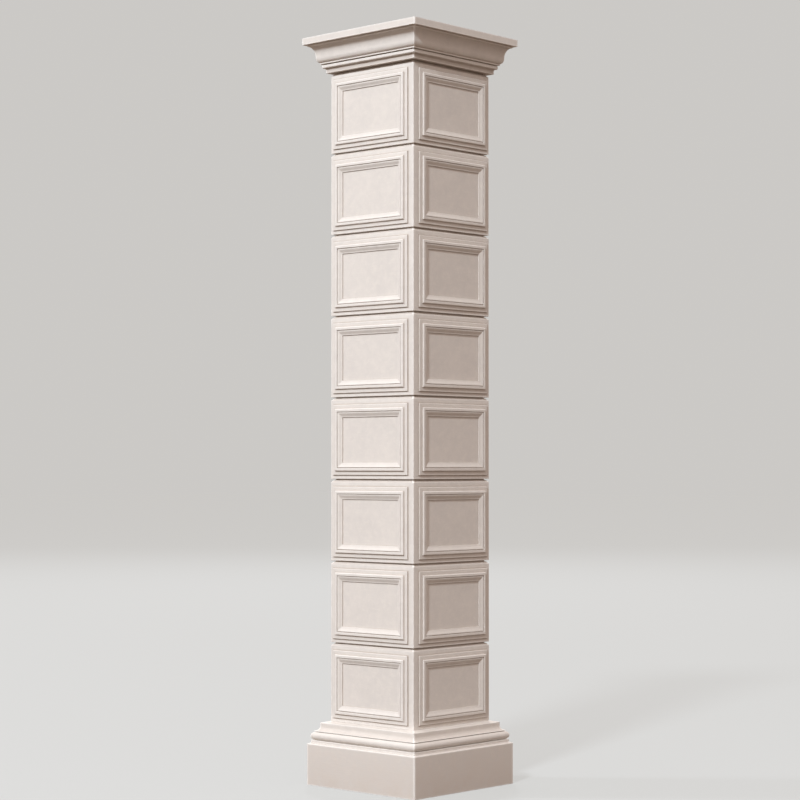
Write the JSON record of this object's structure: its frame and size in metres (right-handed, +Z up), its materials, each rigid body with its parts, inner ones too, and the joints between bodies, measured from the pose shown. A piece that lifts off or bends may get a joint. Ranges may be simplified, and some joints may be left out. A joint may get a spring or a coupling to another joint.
{
  "type": "decorative corner quoin",
  "caption": "Stacked corner quoin in painted plaster that wraps an outside wall corner: plinth, base moulding, panelled blocks and a moulded crown.",
  "frame": {"origin": "on the floor, under the middle of the square that the shaft's two legs span, which is the middle of the whole underside", "axes": "+Z up; the shaft's outer corner points to +X and -Y; one leg runs back along -X with its panels facing -Y, the other runs back along +Y with its panels facing +X"},
  "size_m": [0.519, 0.519, 2.5207],
  "materials": {
    "painted_plaster": "warm white paint on cast plaster, matt, slightly mottled"
  },
  "bodies": {
    "root": {"plinth": "painted_plaster", "base_moulding": "painted_plaster", "quoin_block_1": "painted_plaster", "quoin_block_2": "painted_plaster", "quoin_block_3": "painted_plaster", "quoin_block_4": "painted_plaster", "quoin_block_5": "painted_plaster", "quoin_block_6": "painted_plaster", "quoin_block_7": "painted_plaster", "quoin_block_8": "painted_plaster", "crown": "painted_plaster"}
  },
  "joints": []
}
